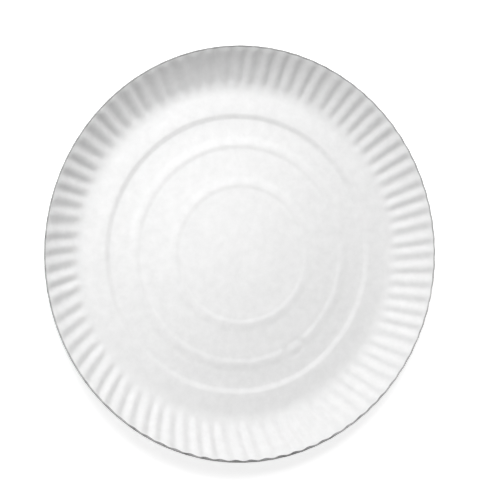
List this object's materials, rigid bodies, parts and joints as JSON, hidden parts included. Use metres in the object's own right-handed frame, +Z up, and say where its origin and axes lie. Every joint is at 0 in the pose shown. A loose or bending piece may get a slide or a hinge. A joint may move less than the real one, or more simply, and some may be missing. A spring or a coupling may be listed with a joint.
{
  "type": "paper plate",
  "caption": "Round white paper plate, pressed from one sheet: flat floor with low raised rings, and a shallow sloping border of even flutes.",
  "frame": {"origin": "bottom centre of the plate, on the surface that it rests on", "axes": "+Z up along the plate's axis, out of the dish; +X through the middle of one flute's crest"},
  "size_m": [0.2302, 0.2302, 0.0179],
  "materials": {
    "board": "matte"
  },
  "bodies": {
    "root": {"plate": "board"}
  },
  "joints": []
}
